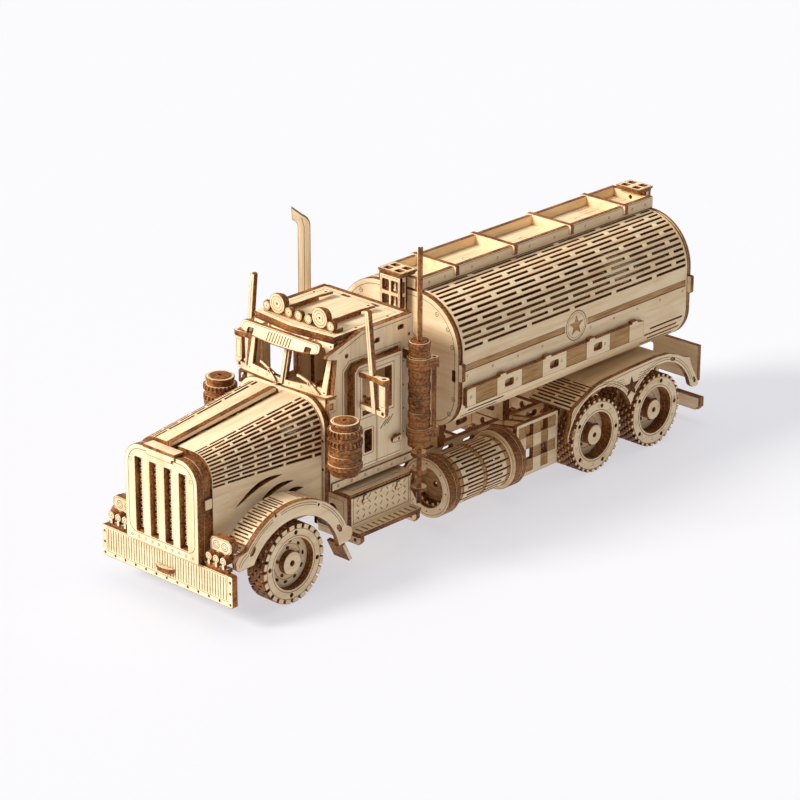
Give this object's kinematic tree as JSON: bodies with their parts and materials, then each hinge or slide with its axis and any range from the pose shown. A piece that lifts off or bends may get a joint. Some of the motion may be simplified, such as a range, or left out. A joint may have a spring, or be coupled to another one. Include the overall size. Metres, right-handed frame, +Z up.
{
  "type": "wooden 3d jigsaw model",
  "caption": "Laser-cut plywood puzzle model of a tanker truck with a conventional cab, an oval tank, turning wheels and side doors that open.",
  "frame": {"origin": "on the ground under the middle of the truck's overall box", "axes": "+Z up, -Y towards the truck's nose, +X towards the truck's left side"},
  "size_m": [0.0838, 0.2942, 0.1281],
  "materials": {
    "birch": "bare sanded birch plywood faces with laser-burnt edges",
    "dark_ply": "stacked plywood discs, mostly laser-burnt brown edges",
    "engraved": "raster-engraved and slit plywood, light brown"
  },
  "bodies": {
    "truck": {"air_cleaner_left": "dark_ply", "air_cleaner_right": "dark_ply", "cab_back": "engraved", "cab_roof": "birch", "cab_side_left": "birch", "cab_side_right": "birch", "catwalk": "birch", "chassis": "engraved", "cowl": "birch", "exhaust_pipe_left": "birch", "exhaust_pipe_right": "birch", "front_bumper": "birch", "front_fender_left": "birch", "front_fender_right": "birch", "front_fender_shell_left": "birch", "front_fender_shell_right": "birch", "front_ladder": "birch", "fuel_tank_left": "engraved", "fuel_tank_right": "engraved", "grille": "birch", "headlamp_left": "birch", "headlamp_right": "birch", "hood_rib": "engraved", "hood_sheet_left": "birch", "hood_sheet_right": "birch", "muffler_left": "dark_ply", "muffler_right": "dark_ply", "rear_bumper": "engraved", "rear_fender_left": "birch", "rear_fender_right": "birch", "rear_fender_shell_left": "birch", "rear_fender_shell_right": "birch", "rear_ladder": "birch", "roof_lights": "engraved", "side_panel_left": "birch", "side_panel_right": "birch", "side_skirt_left": "engraved", "side_skirt_right": "engraved", "sun_visor": "birch", "tail_plate": "birch", "tank_front_plate": "birch", "tank_rear_plate": "birch", "tank_shell": "birch", "tool_box_left": "engraved", "tool_box_right": "engraved", "tow_hook": "engraved", "windshield": "birch"},
    "front_wheelset": {"front_axle": "dark_ply", "front_wheel_left": "birch", "front_wheel_right": "birch"},
    "rear_wheelset_1": {"rear_axle_1": "dark_ply", "rear_wheel_1_left": "birch", "rear_wheel_1_right": "birch"},
    "rear_wheelset_2": {"rear_axle_2": "dark_ply", "rear_wheel_2_left": "birch", "rear_wheel_2_right": "birch"},
    "door_left_set": {"door_left": "birch", "mirror_left": "birch"},
    "door_right_set": {"door_right": "birch", "mirror_right": "birch"}
  },
  "joints": [
    {"name": "front_wheels_roll", "type": "hinge", "parent": "truck", "child": "front_wheelset", "pos_m": [0, -0.10925, 0.0164], "axis": [1, 0, 0], "continuous": true},
    {"name": "rear_wheels_1_roll", "type": "hinge", "parent": "truck", "child": "rear_wheelset_1", "pos_m": [0, 0.07075, 0.0164], "axis": [1, 0, 0], "continuous": true},
    {"name": "rear_wheels_2_roll", "type": "hinge", "parent": "truck", "child": "rear_wheelset_2", "pos_m": [0, 0.11045, 0.0164], "axis": [1, 0, 0], "continuous": true},
    {"name": "door_left_swing", "type": "hinge", "parent": "truck", "child": "door_left_set", "pos_m": [0.0239, -0.06705, 0.0404], "axis": [0, 0, -1], "range_deg": [0, 25]},
    {"name": "door_right_swing", "type": "hinge", "parent": "truck", "child": "door_right_set", "pos_m": [-0.0239, -0.06705, 0.0404], "axis": [0, 0, 1], "range_deg": [0, 25]}
  ]
}
